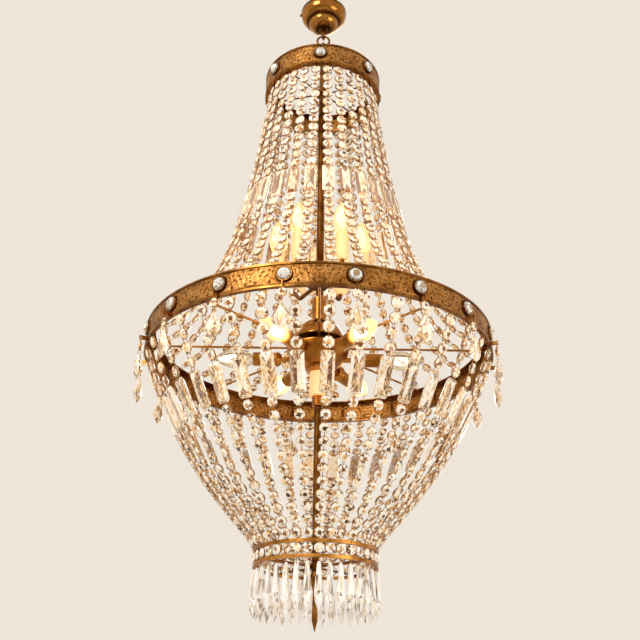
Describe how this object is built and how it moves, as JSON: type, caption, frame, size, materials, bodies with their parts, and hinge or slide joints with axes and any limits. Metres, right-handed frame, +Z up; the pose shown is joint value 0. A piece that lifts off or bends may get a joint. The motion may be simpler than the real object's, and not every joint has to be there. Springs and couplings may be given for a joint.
{
  "type": "crystal chandelier",
  "caption": "Crystal chandelier: a flared tent of octagon strands above a tapering basket, on stamped brass bands, with pear drops, candle bulbs and a fringe of spears.",
  "frame": {"origin": "centre of the ceiling bracket's top face, in the ceiling plane, on the lamp's axis", "axes": "+Z up into the ceiling, the lamp hangs towards -Z; -Y is the side the picture shows; +X is its right"},
  "size_m": [0.634, 0.6266, 1.262],
  "materials": {
    "antique_brass": "aged, lightly rubbed",
    "stamped_brass": "stamped scrolls, aged",
    "zinc_steel": "zinc plated",
    "terminal_plastic": "moulded",
    "wire_insulation": "smooth",
    "candle_sleeve": "satin",
    "cut_crystal": "cut and polished",
    "bulb_glass": "clear"
  },
  "bodies": {
    "ceiling": {"ceiling_bracket": "zinc_steel", "ceiling_hook": "antique_brass", "hook_nuts": "antique_brass", "canopy": "antique_brass", "canopy_set_screw": "antique_brass", "terminal_block": "terminal_plastic"},
    "loop": {"loop_ring": "antique_brass"},
    "frame": {"top_eye": "antique_brass", "stem_tube": "antique_brass", "stem_wires": "wire_insulation", "crown_band": "stamped_brass", "crown_spider": "antique_brass", "jewel_settings": "antique_brass", "jewels": "cut_crystal", "tent_upper_chains": "cut_crystal", "tent_baguettes": "cut_crystal", "tent_lower_chains": "cut_crystal", "upper_light_plate": "antique_brass", "upper_arms": "antique_brass", "upper_lampholders": "candle_sleeve", "upper_bulbs": "bulb_glass", "middle_band": "stamped_brass", "spokes": "antique_brass", "hub_body": "antique_brass", "hub_dome": "antique_brass", "hub_dish": "antique_brass", "hub_cup": "antique_brass", "hub_sleeve": "candle_sleeve", "ribbed_collar": "antique_brass", "lower_lampholders": "antique_brass", "lower_bulbs": "bulb_glass", "basket_upper_chains": "cut_crystal", "basket_baguettes": "cut_crystal", "basket_lower_chains": "cut_crystal", "lower_stem": "antique_brass", "finial": "antique_brass", "foot_upper_band": "antique_brass", "foot_lower_band": "antique_brass", "foot_spider": "antique_brass", "foot_octagons": "cut_crystal", "foot_spears": "cut_crystal"},
    "pendant_01": {"pendant_01": "cut_crystal"},
    "pendant_02": {"pendant_02": "cut_crystal"},
    "pendant_03": {"pendant_03": "cut_crystal"},
    "pendant_04": {"pendant_04": "cut_crystal"},
    "pendant_05": {"pendant_05": "cut_crystal"},
    "pendant_06": {"pendant_06": "cut_crystal"},
    "pendant_07": {"pendant_07": "cut_crystal"},
    "pendant_08": {"pendant_08": "cut_crystal"},
    "pendant_09": {"pendant_09": "cut_crystal"},
    "pendant_10": {"pendant_10": "cut_crystal"},
    "pendant_11": {"pendant_11": "cut_crystal"},
    "pendant_12": {"pendant_12": "cut_crystal"},
    "pendant_13": {"pendant_13": "cut_crystal"},
    "pendant_14": {"pendant_14": "cut_crystal"},
    "pendant_15": {"pendant_15": "cut_crystal"},
    "pendant_16": {"pendant_16": "cut_crystal"},
    "pendant_17": {"pendant_17": "cut_crystal"},
    "pendant_18": {"pendant_18": "cut_crystal"}
  },
  "joints": [
    {"name": "loop_swing", "type": "hinge", "parent": "ceiling", "child": "loop", "pos_m": [0, 0, -0.06945], "axis": [0, 1, 0], "range_deg": [-25, 25]},
    {"name": "frame_swing", "type": "hinge", "parent": "loop", "child": "frame", "pos_m": [0, 0, -0.0894], "axis": [1, 0, 0], "range_deg": [-25, 25]},
    {"name": "pendant_01_swing", "type": "hinge", "parent": "frame", "child": "pendant_01", "pos_m": [0.054, -0.30628, -0.8172], "axis": [-0.9848, -0.1736, 0], "range_deg": [-15, 60]},
    {"name": "pendant_02_swing", "type": "hinge", "parent": "frame", "child": "pendant_02", "pos_m": [0.1555, -0.26933, -0.8172], "axis": [-0.866, -0.5, 0], "range_deg": [-15, 60]},
    {"name": "pendant_03_swing", "type": "hinge", "parent": "frame", "child": "pendant_03", "pos_m": [0.23824, -0.19991, -0.8172], "axis": [-0.6428, -0.766, 0], "range_deg": [-15, 60]},
    {"name": "pendant_04_swing", "type": "hinge", "parent": "frame", "child": "pendant_04", "pos_m": [0.29224, -0.10637, -0.8172], "axis": [-0.342, -0.9397, 0], "range_deg": [-15, 60]},
    {"name": "pendant_05_swing", "type": "hinge", "parent": "frame", "child": "pendant_05", "pos_m": [0.311, 0, -0.8172], "axis": [0, -1, 0], "range_deg": [-15, 60]},
    {"name": "pendant_06_swing", "type": "hinge", "parent": "frame", "child": "pendant_06", "pos_m": [0.29224, 0.10637, -0.8172], "axis": [0.342, -0.9397, 0], "range_deg": [-15, 60]},
    {"name": "pendant_07_swing", "type": "hinge", "parent": "frame", "child": "pendant_07", "pos_m": [0.23824, 0.19991, -0.8172], "axis": [0.6428, -0.766, 0], "range_deg": [-15, 60]},
    {"name": "pendant_08_swing", "type": "hinge", "parent": "frame", "child": "pendant_08", "pos_m": [0.1555, 0.26933, -0.8172], "axis": [0.866, -0.5, 0], "range_deg": [-15, 60]},
    {"name": "pendant_09_swing", "type": "hinge", "parent": "frame", "child": "pendant_09", "pos_m": [0.054, 0.30628, -0.8172], "axis": [0.9848, -0.1736, 0], "range_deg": [-15, 60]},
    {"name": "pendant_10_swing", "type": "hinge", "parent": "frame", "child": "pendant_10", "pos_m": [-0.054, 0.30628, -0.8172], "axis": [0.9848, 0.1736, 0], "range_deg": [-15, 60]},
    {"name": "pendant_11_swing", "type": "hinge", "parent": "frame", "child": "pendant_11", "pos_m": [-0.1555, 0.26933, -0.8172], "axis": [0.866, 0.5, 0], "range_deg": [-15, 60]},
    {"name": "pendant_12_swing", "type": "hinge", "parent": "frame", "child": "pendant_12", "pos_m": [-0.23824, 0.19991, -0.8172], "axis": [0.6428, 0.766, 0], "range_deg": [-15, 60]},
    {"name": "pendant_13_swing", "type": "hinge", "parent": "frame", "child": "pendant_13", "pos_m": [-0.29224, 0.10637, -0.8172], "axis": [0.342, 0.9397, 0], "range_deg": [-15, 60]},
    {"name": "pendant_14_swing", "type": "hinge", "parent": "frame", "child": "pendant_14", "pos_m": [-0.311, 0, -0.8172], "axis": [0, 1, 0], "range_deg": [-15, 60]},
    {"name": "pendant_15_swing", "type": "hinge", "parent": "frame", "child": "pendant_15", "pos_m": [-0.29224, -0.10637, -0.8172], "axis": [-0.342, 0.9397, 0], "range_deg": [-15, 60]},
    {"name": "pendant_16_swing", "type": "hinge", "parent": "frame", "child": "pendant_16", "pos_m": [-0.23824, -0.19991, -0.8172], "axis": [-0.6428, 0.766, 0], "range_deg": [-15, 60]},
    {"name": "pendant_17_swing", "type": "hinge", "parent": "frame", "child": "pendant_17", "pos_m": [-0.1555, -0.26933, -0.8172], "axis": [-0.866, 0.5, 0], "range_deg": [-15, 60]},
    {"name": "pendant_18_swing", "type": "hinge", "parent": "frame", "child": "pendant_18", "pos_m": [-0.054, -0.30628, -0.8172], "axis": [-0.9848, 0.1736, 0], "range_deg": [-15, 60]}
  ]
}
